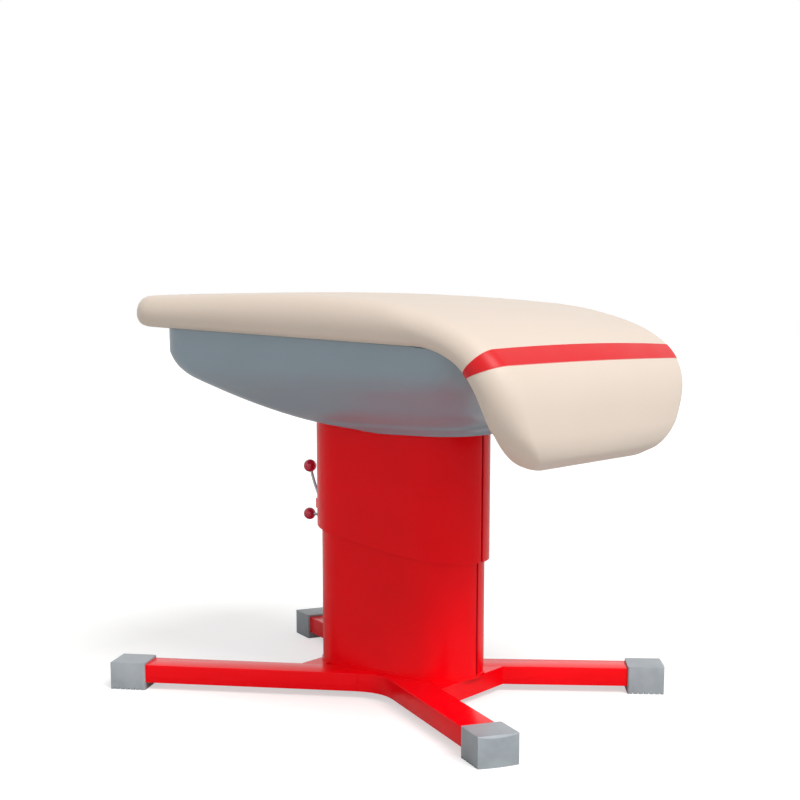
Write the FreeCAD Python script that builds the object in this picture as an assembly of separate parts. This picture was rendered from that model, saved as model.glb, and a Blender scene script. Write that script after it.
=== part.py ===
import FreeCAD, Part
import math
import os

Vec = FreeCAD.Vector

# Vaulting table, millimetres. Origin on the floor below the column's axis, +X towards the
# hanging front of the pad, +Z up. The table is the same on both sides of the plane y = 0,
# and the levers are on the rear of the column.

# Height setting: the head slides on the column in steps
step_pitch = 25.0
steps_down = 3
steps_up = 11

# Heights with the head at rest, each from the one named before it
pad_top_z = 1084.0
head_drop = 154.0
column_top_gap = 15.0
rail_top_margin = 99.0

# Base frame of rectangular steel tube
tube_width = 90.0
tube_height = 50.0
tube_wall = 3.0
tube_bottom = 20.0
front_splay = 32.5
rear_splay = 27.0
front_leg_reach = 444.0
rear_leg_reach = 525.0
crossbar_face = 235.0
crossbar_half_span = 148.0
crossbar_width = 60.0
gusset_radius = 120.0

# Rubber shoes
shoe_width = 105.0
shoe_length = 103.0
shoe_top_wall = 6.0
shoe_end_wall = 12.0
shoe_end_bulge = 5.0
shoe_chamfer = 6.0
shoe_round = 6.0
sole_groove_count = 6
sole_groove_depth = 4.0
sole_groove_width = 5.0

# Column foot
flange_thick = 8.0
flange_margin = 3.0
flange_bolt_radius = 5.0
flange_bolt_head_radius = 8.5
flange_bolt_head_thick = 6.0
flange_bolt_y = 55.0
fit_clearance = 0.5

# Inner column, a flat sided oval of two pressed half shells
column_radius = 115.0
column_flat_half = 131.0
column_wall = 3.0
seam_gap = 8.0
strip_half_width = 16.0
strip_thick = 3.0

# Rear index rail
rail_width = 40.0
rail_thick = 12.0
rail_recess = 2.5
index_hole_radius = 8.2

# Outer column around the inner one; its lower edge hangs below the index height
column_gap = 10.0
edge_rear_drop = 8.0
edge_knee_x = 60.0
edge_knee_drop = 63.0
edge_front_drop = 83.0
edge_round = 22.0
lock_plate_thick = 5.5
lock_plate_half_width = 60.0
lock_plate_drop = 26.0
running_gap = 0.3

# Guide pads between the two columns
guide_pad_half_length = 30.0
guide_pad_x = 90.0
guide_pad_height = 50.0
lower_rear_pad_drop = 20.0
lower_front_pad_drop = 55.0
upper_rear_pad_height = 25.0
upper_pad_margin = 40.0

# Gas spring
spring_radius = 22.0
spring_wall = 3.0
spring_low_reserve = 39.0
gland_length = 20.0
spring_rod_radius = 7.0
piston_length = 20.0
piston_reserve = 10.0
sliding_gap = 0.05
eye_width = 16.0
eye_ring_radius = 12.0
eye_reach = 20.0
eye_pin_radius = 5.0
bracket_wall = 6.0
bracket_half_depth = 18.0
bracket_plate_thick = 6.0
eye_play = 0.3

# Index plunger
plunger_travel = 14.0
pin_radius = 8.0
pin_length = 23.5
pin_chamfer = 2.0
pin_parked_gap = 1.5
pin_running_gap = 0.08
housing_radius = 14.0
housing_reach = 27.0
housing_cap = 3.0
stem_radius = 4.0
knob_radius = 17.0
knob_grip_depth = 8.5
knob_stop_gap = 8.0
coil_wire_radius = 0.8
coil_radius = 6.1
coil_turns = 4

# Clamp lever, its eccentric cam and the brake shoe
lever_rise = 34.0
lever_pivot_offset = 20.5
ear_thick = 5.0
ear_half_height = 14.0
ear_end_margin = 11.0
ear_play = 0.5
cam_radius = 12.0
cam_offset = 2.5
cam_half_width = 7.5
pivot_radius = 4.0
lever_rod_radius = 4.0
lever_rod_start = 9.0
lever_ball_back = 42.5
lever_ball_rise = 103.0
lever_ball_radius = 18.0
lever_grip_depth = 9.0
lever_bow = 3.0
brake_stem_radius = 6.0
brake_shoe_thick = 3.0
brake_shoe_half_width = 25.0
brake_shoe_half_height = 15.0

# Head frame
head_plate_thick = 10.0
head_plate_margin = 20.0
rail_side_gap = 4.0
side_rail_width = 40.0
side_rail_wall = 3.0
side_rail_drop = 45.0
side_rail_rear_inset = 145.0
cross_rail_gap = 7.0
cross_rail_width = 34.0
cross_rail_height = 44.0
damper_thick = 10.0
damper_end_margin = 50.0
head_bolt_radius = 5.0
head_bolt_head_radius = 9.0
head_bolt_head_thick = 6.5
nut_radius = 8.0
nut_depth = 12.0

# Top board, bent plywood under the pad, and the firm foam on it
board_thick = 18.0
board_inset = 60.0
board_round = 45.0
board_last_turn = 0.9
firm_layer_thick = 25.0

# Pad: width, ends and the heights of its cover, as drops from the top
pad_half_width = 475.0
pad_rear_x = -565.0
pad_rear_thick = 86.0
pad_bend_start_x = -332.0
pad_front_x = 635.0
pad_front_drop = 333.0
pad_bend_power = 3.18
pad_lean = 70.0
under_slope = 0.051
under_bend_x = 335.0
under_front_x = 538.5
under_front_drop = 331.0
under_bend_power = 2.37
pad_nose_drop = 10.0

# Pad: crown, rounded edges and the rounded lower end of its front
pad_crown = 12.0
pad_side_bulge = 3.0
pad_edge_round = 36.0
pad_front_edge_round = 50.0
pad_plan_round = 100.0
pad_rear_round = 82.0
pad_rear_end_share = 0.25
pad_tip_drop = 423.0
pad_tip_outer_rise = 14.8
pad_tip_outer_back = 37.0
pad_tip_under_rise = 16.5
pad_tip_under_back = 8.4
pad_narrowing_drop = 159.0
pad_narrowing = 244.0
pad_narrowing_power = 1.95
tip_closing_start = 0.55
tip_closing_share = 0.6
tip_middle_share = 0.8
cover_thick = 2.5
soft_gap = 0.3

# Stripe across the front of the pad, between two slanting cuts
stripe_top_drop = 67.5
stripe_top_slope = 0.927
stripe_low_drop = 160.0
stripe_low_slope = 0.343
stripe_thick = 1.2

# Hull, moulded in two halves below the pad. Each level gives the share of its height
# above the bottom, and of its reach beyond the bottom to the rear, the front and the sides.
hull_wall = 4.0
hull_end_inset = 78.0
hull_side_inset = 40.0
hull_round = 100.0
hull_wall_drop = 154.0
hull_bottom_drop = 366.0
hull_bottom_rear = 40.0
hull_joint_gap = 0.4
hull_levels = [(0.0, 0.0, 0.0, 0.0), (0.033, 0.13, 0.023, 0.04), (0.061, 0.217, 0.046, 0.081),
               (0.104, 0.35, 0.078, 0.135), (0.142, 0.434, 0.1, 0.175),
               (0.198, 0.5, 0.206, 0.271), (0.34, 0.64, 0.429, 0.475),
               (0.528, 0.794, 0.673, 0.7), (0.717, 0.925, 0.882, 0.891),
               (0.811, 0.963, 0.94, 0.946), (0.906, 0.986, 0.978, 0.979),
               (1.0, 1.0, 1.0, 1.0)]
hull_mouth_gap = 2.0
hull_rim_gap = 2.0
hull_mouth_margin = 10.0
hull_bracket_width = 40.0
hull_bracket_leg = 36.0
hull_bracket_drop = 24.0
hull_bracket_gap = 0.8
hull_bracket_thick = 3.0
hull_bracket_middle_x = -60.0
hull_bracket_spacing = 240.0
hull_screw_radius = 2.4
hull_screw_head_radius = 5.0
hull_screw_head_thick = 2.5
hull_screw_depth = 14.0
hull_screw_inset = 28.0

# Sizes and places that follow from those above
rise = step_pitch * steps_up
fall = step_pitch * steps_down
tube_top = tube_bottom + tube_height
flange_top = tube_top + flange_thick
flange_bolt_x = crossbar_face - crossbar_width / 2

outer_top = pad_top_z - head_drop
column_top = outer_top - fall - column_top_gap
index_height = column_top - rail_top_margin - rise
lever_height = index_height + lever_rise

outer_inside = column_radius + column_gap
outer_radius = outer_inside + column_wall
rear_face_x = -(column_flat_half + column_radius)
outer_front_x = column_flat_half + outer_radius
outer_rear_x = -outer_front_x
rail_face_x = rear_face_x + rail_recess

edge_rear_z = index_height - edge_rear_drop
edge_knee_z = index_height - edge_knee_drop
edge_front_z = index_height - edge_front_drop

lower_pin_z = flange_top + bracket_plate_thick + bracket_half_depth
upper_pin_z = outer_top - bracket_plate_thick - bracket_half_depth
spring_foot_z = lower_pin_z + eye_reach
spring_top = (spring_foot_z + spring_wall + spring_low_reserve + piston_length + fall + rise
              + piston_reserve + gland_length)
piston_top = spring_top - gland_length - piston_reserve - rise

pin_tip_x = rear_face_x - pin_parked_gap
pin_collar_x = pin_tip_x - pin_length
housing_end_x = outer_rear_x - housing_reach
plunger_knob_x = housing_end_x - plunger_travel - knob_stop_gap - knob_radius
pivot_x = outer_rear_x - lever_pivot_offset
cam_face_x = pivot_x + cam_radius + cam_offset
lever_ball = Vec(pivot_x - lever_ball_back, 0, lever_height + lever_ball_rise)

rail_inner_y = outer_radius + rail_side_gap
side_rail_bottom = outer_top - side_rail_drop
side_rail_rear_x = pad_rear_x + side_rail_rear_inset
side_rail_front_x = outer_front_x + cross_rail_gap + cross_rail_width

under_rear_z = pad_top_z - pad_rear_thick
under_front_z = pad_top_z - under_front_drop
pad_front_z = pad_top_z - pad_front_drop
pad_tip_z = pad_top_z - pad_tip_drop
pad_turn_x = under_bend_x - pad_lean
pad_narrowing_z = pad_top_z - pad_narrowing_drop
stripe_top_z = pad_top_z - stripe_top_drop
stripe_low_z = pad_top_z - stripe_low_drop

hull_half_length = -pad_rear_x - hull_end_inset
hull_half_width = pad_half_width - hull_side_inset
hull_bottom_z = pad_top_z - hull_bottom_drop
hull_wall_bottom_z = pad_top_z - hull_wall_drop

# Longer than anything here, for cuts that go right through
far = 2000.0

# How far the middle of a quarter circle lies in from its corner, as a share of its radius
corner_in = 1 - math.sqrt(0.5)

# Shares along the pad where its cross sections stand: round rear end, straight part,
# bend and rounded lower end of the front
rear_shares = [0.0, 0.06, 0.2, 0.45, 0.75, 1.0]
straight_shares = [0.05, 0.15, 0.35, 0.6, 0.8, 1.0]
bend_turns = [0.18, 0.34, 0.48, 0.62, 0.78, 1.0]
tip_shares = [0.3, 0.55, 0.75, 0.88, 0.96, 1.0]


def box(x0, x1, y0, y1, z0, z1):
    return Part.makeBox(x1 - x0, y1 - y0, z1 - z0, Vec(x0, y0, z0))


def rod(radius, start, end):
    line = end - start
    return Part.makeCylinder(radius, line.Length, start, line)


def bar_x(radius, x0, x1, z):
    return rod(radius, Vec(x0, 0, z), Vec(x1, 0, z))


def bar_y(radius, half_length, x, z):
    return rod(radius, Vec(x, -half_length, z), Vec(x, half_length, z))


def post(radius, x, y, z0, z1):
    return Part.makeCylinder(radius, z1 - z0, Vec(x, y, z0))


def prism_y(points, y0, y1):
    wire = Part.makePolygon([Vec(x, y0, z) for x, z in points + points[:1]])
    return Part.Face(wire).extrude(Vec(0, y1 - y0, 0))


def prism_z(points, z0, z1):
    wire = Part.makePolygon([Vec(x, y, z0) for x, y in points + points[:1]])
    return Part.Face(wire).extrude(Vec(0, 0, z1 - z0))


def mirrored(shape):
    return shape.mirror(Vec(0, 0, 0), Vec(0, 1, 0))


def save(name, solids):
    shape = solids[0] if len(solids) == 1 else Part.makeCompound(solids)
    for solid in shape.Solids:
        if not solid.isValid():
            print("not valid:", name)
    shape.exportStep("parts/" + name + ".step")
    print(name, len(shape.Solids), round(shape.Volume / 1000.0, 1), "cm3")


# Base frame

class Leg:
    # One straight leg from the middle of its side to its shoe, on the near side (y below 0)
    def __init__(self, end, splay, reach):
        angle = math.radians(splay)
        self.end = end
        self.spread = math.tan(angle)
        self.along = Vec(end * math.cos(angle), -math.sin(angle), 0)
        self.out = Vec(-end * math.sin(angle), -math.cos(angle), 0)
        self.corner = Vec(end * crossbar_face, -crossbar_half_span, 0)
        self.axis = self.corner + self.out * (tube_width / 2)
        self.reach = reach

    def place(self, length, side, z):
        # A point at a length along the leg, a distance out from its axis line and a height
        point = self.axis + self.along * length + self.out * side
        return Vec(point.x, point.y, z)

    def block(self, start, stop, side0, side1, z0, z1):
        corners = []
        for length, side in ((start, side0), (stop, side0), (stop, side1), (start, side1)):
            point = self.place(length, side, 0)
            corners.append((point.x, point.y))
        return prism_z(corners, z0, z1)


front_leg = Leg(1, front_splay, front_leg_reach)
rear_leg = Leg(-1, rear_splay, rear_leg_reach)


def side_meeting():
    # Where the axes of the two legs on one side cross, and the line that parts them
    a, u = front_leg.axis, front_leg.along
    b, v = rear_leg.axis, rear_leg.along
    cross = u.x * v.y - u.y * v.x
    length = ((b.x - a.x) * v.y - (b.y - a.y) * v.x) / cross
    return a + u * length, (u + v).normalize()


def leg_tube(leg):
    half = tube_width / 2
    meeting, parting = side_meeting()
    stop = leg.reach - shoe_end_wall
    start = (meeting - leg.axis).dot(leg.along) - tube_width
    solid = leg.block(start, stop, -half, half, tube_bottom, tube_top)
    bore = leg.block(start, stop, -half + tube_wall, half - tube_wall,
                     tube_bottom + tube_wall, tube_top - tube_wall)
    low = meeting - parting * far
    high = meeting + parting * far
    back = Vec(-leg.end * far, 0, 0)
    corners = [(p.x, p.y) for p in (low, high, high + back, low + back)]
    return solid.cut(bore).cut(prism_z(corners, 0, tube_top + far))


def crossbar(leg):
    # Its ends are cut along the inner edges of the legs
    half_in = crossbar_half_span - crossbar_width * leg.spread
    x_out = leg.end * crossbar_face
    x_in = leg.end * (crossbar_face - crossbar_width)
    solid = prism_z([(x_out, -crossbar_half_span), (x_out, crossbar_half_span),
                     (x_in, half_in), (x_in, -half_in)], tube_bottom, tube_top)
    low, high = sorted((x_out, x_in))
    bore = box(low + tube_wall, high - tube_wall, -far, far,
               tube_bottom + tube_wall, tube_top - tube_wall)
    return bolt_holes(solid.cut(bore))


def corner_gusset():
    # Fills the outer corner between the two legs of one side, up to an arc
    meeting, parting = side_meeting()
    turn = math.acos(front_leg.along.dot(rear_leg.along)) / 2
    corner = meeting + parting * (tube_width / 2 / math.sin(turn))
    run = gusset_radius / math.tan(turn)
    a = corner + front_leg.along * run
    b = corner + rear_leg.along * run
    centre = corner + parting * (gusset_radius / math.sin(turn))
    solid = prism_z([(corner.x, corner.y), (a.x, a.y), (b.x, b.y)], tube_bottom, tube_top)
    return solid.cut(post(gusset_radius, centre.x, centre.y, 0, far))


def shoe(leg):
    # A rubber block over the leg's end: convex end face, chamfered top edge, ribbed sole
    half = shoe_width / 2
    top = tube_top + shoe_top_wall
    start = leg.reach - shoe_length
    solid = leg.block(start, leg.reach, -half, half, 0, top)
    upright = [e for e in solid.Edges if abs(e.tangentAt(e.FirstParameter).z) > 0.9]
    solid = solid.makeFillet(shoe_round, upright)
    dome_radius = (half ** 2 + shoe_end_bulge ** 2) / (2 * shoe_end_bulge)
    dome_centre = leg.place(leg.reach - dome_radius, 0, 0)
    solid = solid.common(post(dome_radius, dome_centre.x, dome_centre.y, 0, far))
    chamfer_start = leg.place(leg.reach - shoe_chamfer, -far, top)
    beyond = leg.place(leg.reach + far, -far, top)
    below = beyond - Vec(0, 0, far + shoe_chamfer)
    wedge = Part.Face(Part.makePolygon([chamfer_start, beyond, below, chamfer_start]))
    solid = solid.cut(wedge.extrude(leg.out * (2 * far)))
    solid = solid.cut(leg.block(start - far, leg.reach - shoe_end_wall, -tube_width / 2,
                                tube_width / 2, tube_bottom, tube_top))
    pitch = shoe_length / (sole_groove_count + 1)
    for i in range(sole_groove_count):
        middle = start + pitch * (i + 1)
        solid = solid.cut(leg.block(middle - sole_groove_width / 2,
                                    middle + sole_groove_width / 2,
                                    -far, far, -1, sole_groove_depth))
    return solid


# Column

def oval(radius, z0, z1):
    # A flat sided oval: two half circles joined by straight sides
    middle = box(-column_flat_half, column_flat_half, -radius, radius, z0, z1)
    ends = [post(radius, end * column_flat_half, 0, z0, z1) for end in (-1, 1)]
    return middle.fuse(ends).removeSplitter()


def ring_sector(r_in, r_out, end, half_width, z0, z1):
    # Part of the column's round end, as wide as twice half_width
    x = end * column_flat_half
    ring = post(r_out, x, 0, z0, z1).cut(post(r_in, x, 0, z0, z1))
    x0, x1 = sorted((x, end * far))
    return ring.common(box(x0, x1, -half_width, half_width, z0, z1))


def index_heights():
    return [index_height + step_pitch * i for i in range(-steps_down, steps_up + 1)]


def flange_bolt_places():
    return [(sx * flange_bolt_x, sy * flange_bolt_y) for sx in (-1, 1) for sy in (-1, 1)]


def bolt_holes(shape):
    for x, y in flange_bolt_places():
        shape = shape.cut(post(flange_bolt_radius + fit_clearance, x, y, 0, far))
    return shape


def column_flange():
    return bolt_holes(oval(column_radius + flange_margin, tube_top, flange_top))


def flange_bolts():
    bolts = []
    for x, y in flange_bolt_places():
        shank = post(flange_bolt_radius, x, y, tube_top - tube_wall, flange_top)
        head = post(flange_bolt_head_radius, x, y, flange_top,
                    flange_top + flange_bolt_head_thick)
        bolts.append(shank.fuse(head).removeSplitter())
    return bolts


def inner_half():
    # Near half shell, open in front at the seam and behind at the index rail
    shell = oval(column_radius, flange_top, column_top)
    shell = shell.cut(oval(column_radius - column_wall, 0, far))
    shell = shell.cut(box(-far, far, 0, far, 0, far))
    shell = shell.cut(box(0, far, -seam_gap / 2, far, 0, far))
    return shell.cut(box(-far, 0, -rail_width / 2, far, 0, far))


def inner_strip():
    r_out = column_radius - column_wall
    return ring_sector(r_out - strip_thick, r_out, 1, strip_half_width, flange_top, column_top)


def index_rail():
    rail = box(rail_face_x, rail_face_x + rail_thick, -rail_width / 2, rail_width / 2,
               flange_top, column_top)
    for z in index_heights():
        rail = rail.cut(bar_x(index_hole_radius, -far, 0, z))
    return rail


def lower_edge_cutter():
    # All that lies below the outer column's lower edge, whose rear corner is round
    slope = (edge_knee_z - edge_rear_z) / (edge_knee_x - outer_rear_x)
    inward = edge_round * corner_in
    round_start = Vec(outer_rear_x + edge_round, -far, edge_rear_z + slope * edge_round)
    round_middle = Vec(outer_rear_x + inward, -far, edge_rear_z + inward)
    round_end = Vec(outer_rear_x, -far, edge_rear_z + edge_round)
    corners = [round_end, Vec(-far, -far, round_end.z), Vec(-far, -far, 0), Vec(far, -far, 0),
               Vec(far, -far, edge_front_z), Vec(outer_front_x, -far, edge_front_z),
               Vec(edge_knee_x, -far, edge_knee_z), round_start]
    edges = [Part.LineSegment(a, b).toShape() for a, b in zip(corners, corners[1:])]
    edges.append(Part.Arc(round_start, round_middle, round_end).toShape())
    return Part.Face(Part.Wire(edges)).extrude(Vec(0, 2 * far, 0))


def lock_bores(shape):
    # Holes for the plunger housing and for the stem of the brake shoe
    shape = shape.cut(bar_x(housing_radius, -far, 0, index_height))
    return shape.cut(bar_x(brake_stem_radius + pin_running_gap, -far, 0, lever_height))


def outer_half():
    shell = oval(outer_radius, 0, outer_top)
    shell = shell.cut(oval(outer_inside, 0, far))
    shell = shell.cut(lower_edge_cutter())
    shell = shell.cut(box(-far, far, -seam_gap / 2, far, 0, far))
    return lock_bores(shell)


def outer_strip():
    return ring_sector(outer_inside - strip_thick, outer_inside, 1, strip_half_width,
                       edge_front_z, outer_top)


def lock_plate():
    plate = ring_sector(outer_inside - lock_plate_thick, outer_inside, -1,
                        lock_plate_half_width, index_height - lock_plate_drop, outer_top)
    return lock_bores(plate)


def guide_pad_pair(x, z0, height, y_in, y_out):
    pad = box(x - guide_pad_half_length, x + guide_pad_half_length, y_in, y_out,
              z0, z0 + height)
    return [pad, mirrored(pad)]


def lower_guide_pads():
    # Carried by the outer column, just clear of the inner one
    y_in, y_out = column_radius + running_gap, outer_inside
    pads = []
    for x, drop in ((-guide_pad_x, lower_rear_pad_drop), (guide_pad_x, lower_front_pad_drop)):
        pads += guide_pad_pair(x, index_height - drop, guide_pad_height, y_in, y_out)
    return pads


def upper_guide_pads():
    # Carried by the inner column, just clear of the outer one
    y_in, y_out = column_radius, outer_inside - running_gap
    pads = []
    for x, height in ((-guide_pad_x, upper_rear_pad_height), (guide_pad_x, guide_pad_height)):
        pads += guide_pad_pair(x, column_top - upper_pad_margin - height, height, y_in, y_out)
    return pads


# Gas spring

def bracket(plate_z, side, pin_z):
    # A fork on a plate: side is 1 where its ears point up
    reach = bracket_half_depth * 2
    half_gap = eye_width / 2 + eye_play
    low, high = sorted((plate_z, pin_z + side * bracket_half_depth))
    ears = []
    for s in (-1, 1):
        y0, y1 = sorted((s * half_gap, s * (half_gap + bracket_wall)))
        ears.append(box(-bracket_half_depth, bracket_half_depth, y0, y1, low, high))
    z0, z1 = sorted((plate_z, plate_z + side * bracket_plate_thick))
    fork = box(-reach, reach, -reach, reach, z0, z1).fuse(ears).removeSplitter()
    return fork.cut(bar_y(eye_pin_radius, far, 0, pin_z))


def eye_pin(pin_z):
    return bar_y(eye_pin_radius, eye_width / 2 + eye_play + bracket_wall, 0, pin_z)


def eye(pin_z, z0, z1):
    # A flat eye on the end of the spring, round the bracket's pin
    half = eye_width / 2
    block = box(-half, half, -half, half, z0, z1)
    ring = bar_y(eye_ring_radius, half, 0, pin_z)
    bore = bar_y(eye_pin_radius + sliding_gap, far, 0, pin_z)
    return block.fuse(ring).removeSplitter().cut(bore)


def spring_cylinder():
    tube = post(spring_radius, 0, 0, spring_foot_z, spring_top)
    bore = post(spring_radius - spring_wall, 0, 0, spring_foot_z + spring_wall, far)
    return tube.cut(bore).fuse(eye(lower_pin_z, lower_pin_z, spring_foot_z)).removeSplitter()


def spring_gland():
    gland = post(spring_radius - spring_wall, 0, 0, spring_top - gland_length, spring_top)
    return gland.cut(post(spring_rod_radius + sliding_gap, 0, 0, 0, far))


def spring_piston():
    radius = spring_radius - spring_wall - sliding_gap
    return post(radius, 0, 0, piston_top - piston_length, piston_top)


def spring_rod():
    stop = upper_pin_z - eye_reach
    shaft = post(spring_rod_radius, 0, 0, piston_top, stop)
    return shaft.fuse(eye(upper_pin_z, stop, upper_pin_z)).removeSplitter()


# Index plunger

def plunger_housing():
    start = -(column_flat_half + outer_inside - lock_plate_thick) - running_gap
    body = bar_x(housing_radius, housing_end_x, start, index_height)
    bore = bar_x(pin_radius + pin_running_gap, housing_end_x + housing_cap, 0, index_height)
    hole = bar_x(stem_radius + pin_running_gap, -far, 0, index_height)
    return body.cut(bore).cut(hole)


def index_pin():
    # Pin and stem are turned from one bar, and the pin's tip is chamfered
    nose_x = pin_tip_x - pin_chamfer
    body = bar_x(pin_radius, pin_collar_x, nose_x, index_height)
    nose = Part.makeCone(pin_radius, pin_radius - pin_chamfer, pin_chamfer,
                         Vec(nose_x, 0, index_height), Vec(1, 0, 0))
    stem_end = plunger_knob_x + knob_radius - knob_grip_depth
    stem = bar_x(stem_radius, stem_end, pin_collar_x, index_height)
    return body.fuse([nose, stem]).removeSplitter()


def plunger_knob():
    return Part.makeSphere(knob_radius, Vec(plunger_knob_x, 0, index_height)).cut(index_pin())


def plunger_spring():
    # A coil round the stem between the pin's collar and the housing's cap
    start = pin_collar_x - coil_wire_radius - running_gap
    end = housing_end_x + housing_cap + coil_wire_radius + running_gap
    length = start - end
    path = Part.Wire(Part.makeHelix(length / coil_turns, length, coil_radius).Edges)
    first = path.Edges[0]
    circle = Part.Circle(first.valueAt(first.FirstParameter),
                         first.tangentAt(first.FirstParameter), coil_wire_radius)
    coil = path.makePipeShell([Part.Wire([circle.toShape()])], True, True)
    coil.rotate(Vec(0, 0, 0), Vec(0, 1, 0), -90)
    coil.translate(Vec(start, 0, index_height))
    return coil


# Clamp lever

def lever_ears():
    ears = []
    inner = cam_half_width + ear_play
    for s in (-1, 1):
        y0, y1 = sorted((s * inner, s * (inner + ear_thick)))
        ear = box(pivot_x - ear_end_margin, -column_flat_half, y0, y1,
                  lever_height - ear_half_height, lever_height + ear_half_height)
        ear = ear.cut(oval(outer_radius, 0, far))
        ears.append(ear.cut(bar_y(pivot_radius, far, pivot_x, lever_height)))
    return ears


def lever_pivot_pin():
    return bar_y(pivot_radius, cam_half_width + ear_play + ear_thick, pivot_x, lever_height)


def lever_cam():
    # An eccentric disc: its high side faces the brake shoe's stem while clamped
    disc = bar_y(cam_radius, cam_half_width, pivot_x + cam_offset, lever_height)
    disc = disc.cut(bar_y(pivot_radius + sliding_gap, far, pivot_x, lever_height))
    return disc.cut(lever_rod())


def lever_rod():
    # A bar bowed slightly outwards, from the cam to the ball
    start = Vec(pivot_x, 0, lever_height)
    line = (lever_ball - start).normalize()
    side = Vec(-line.z, 0, line.x)
    a = start + line * lever_rod_start
    b = lever_ball - line * lever_grip_depth
    path = Part.Wire([Part.Arc(a, (a + b) * 0.5 + side * lever_bow, b).toShape()])
    first = path.Edges[0]
    circle = Part.Circle(a, first.tangentAt(first.FirstParameter), lever_rod_radius)
    return path.makePipeShell([Part.Wire([circle.toShape()])], True, False)


def lever_knob():
    return Part.makeSphere(lever_ball_radius, lever_ball).cut(lever_rod())


def brake_shoe():
    # A curved shoe just clear of the inner column, on a stem that ends at the cam
    r_in = column_radius + running_gap
    curved = ring_sector(r_in, r_in + brake_shoe_thick, -1, brake_shoe_half_width,
                         lever_height - brake_shoe_half_height,
                         lever_height + brake_shoe_half_height)
    start = -(column_flat_half + r_in + brake_shoe_thick / 2)
    stem = bar_x(brake_stem_radius, cam_face_x + running_gap, start, lever_height)
    return curved.fuse(stem).removeSplitter()


# Outline of the pad in the plane y = 0: an outer line over the top and front, and an
# under line below. Both are straight behind and then turn down along a power curve,
# (u/a)^p + (v/b)^p = 1, so a station on one faces a station on the other.

def power_arc(turn, start_x, end_x, top_z, end_z, power):
    # turn runs from 0, level, to 1, upright
    angle = turn * math.pi / 2
    u = math.sin(angle) ** (2 / power)
    v = math.cos(angle) ** (2 / power)
    return Vec(start_x + (end_x - start_x) * u, 0, end_z + (top_z - end_z) * v)


def under_z(x):
    return under_rear_z - under_slope * (x - pad_rear_x)


def outer_share(x):
    # How far x is along the outer line, to the power that its arc has
    reach = max(0.0, x - pad_bend_start_x) / (pad_front_x - pad_bend_start_x)
    return reach ** pad_bend_power


def outer_z(x):
    return pad_front_z + (pad_top_z - pad_front_z) * (1 - outer_share(x)) ** (1 / pad_bend_power)


def outer_bend(turn):
    # The outer line's arc begins far to the rear; its sections fan out from pad_turn_x on
    first = math.asin(math.sqrt(outer_share(pad_turn_x))) * 2 / math.pi
    return power_arc(first + (1 - first) * turn, pad_bend_start_x, pad_front_x, pad_top_z,
                     pad_front_z, pad_bend_power)


def under_bend(turn):
    return power_arc(turn, under_bend_x, under_front_x, under_z(under_bend_x), under_front_z,
                     under_bend_power)


def plan_half_width(x):
    # The rear corners are round in plan
    inside = x - pad_rear_x
    if inside >= pad_plan_round:
        return pad_half_width
    rest = min(pad_plan_round, pad_plan_round - inside)
    return pad_half_width - pad_plan_round + math.sqrt(pad_plan_round ** 2 - rest ** 2)


def front_half_width(z):
    # The hanging front narrows along a squarish oval down to the tip
    share = min(1.0, max(0.0, (pad_narrowing_z - z) / (pad_narrowing_z - pad_tip_z)))
    keep = (1 - share ** pad_narrowing_power) ** (1 / pad_narrowing_power)
    return pad_half_width - pad_narrowing * (1 - keep)


# A station of the pad holds its under point, outer point, half width, crown and how much
# of the front's fuller edge it has

def rear_station(share, inset):
    # The thickness opens up along a quarter circle from the rear end
    x = pad_rear_x + pad_rear_round * share + inset * (1 - share)
    low, high = under_z(x) - pad_nose_drop * (1 - share) ** 2, pad_top_z
    middle = (low + high) / 2
    open_share = math.sqrt(1 - (1 - share) ** 2)
    grow = pad_rear_end_share + (1 - pad_rear_end_share) * open_share
    under = Vec(x, 0, middle + (low - middle) * grow)
    outer = Vec(x, 0, middle + (high - middle) * grow)
    return [under, outer, plan_half_width(x), pad_crown * grow, 0.0]


def straight_station(share):
    start = pad_rear_x + pad_rear_round
    x_low = start + (under_bend_x - start) * share
    x_high = start + (pad_turn_x - start) * share
    under = Vec(x_low, 0, under_z(x_low))
    return [under, Vec(x_high, 0, outer_z(x_high)), plan_half_width(x_low), pad_crown, 0.0]


def bend_station(turn):
    under, outer = under_bend(turn), outer_bend(turn)
    half_width = front_half_width((under.z + outer.z) / 2)
    return [under, outer, half_width, pad_crown, math.sin(turn * math.pi / 2)]


def tip_station(share, inset):
    # Below the front the pad tapers and closes to its rounded lower edge
    drop = math.sin(share * math.pi / 2)
    back = 1 - math.cos(share * math.pi / 2)
    outer_end_z = pad_tip_z + pad_tip_outer_rise
    under_end_z = pad_tip_z + pad_tip_under_rise
    outer = Vec(pad_front_x - pad_tip_outer_back * back, 0,
                pad_front_z + (outer_end_z - pad_front_z) * drop)
    under = Vec(under_front_x + pad_tip_under_back * back, 0,
                under_front_z + (under_end_z - under_front_z) * drop)
    closing = max(0.0, (share - tip_closing_start) / (1 - tip_closing_start))
    middle = (outer + under) * 0.5
    middle.z = middle.z + (pad_tip_z - middle.z) * closing ** 3 * tip_middle_share
    keep = 1 - tip_closing_share * (1 - math.sqrt(max(0.0, 1 - closing ** 2)))
    lift = Vec(0, 0, inset * closing * 2)
    return [middle + (under - middle) * keep + lift, middle + (outer - middle) * keep + lift,
            front_half_width(middle.z), pad_crown * keep, 1.0]


def pad_stations(inset):
    stations = [rear_station(share, inset) for share in rear_shares]
    stations += [straight_station(share) for share in straight_shares]
    stations += [bend_station(turn) for turn in bend_turns]
    return stations + [tip_station(share, inset) for share in tip_shares]


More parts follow.
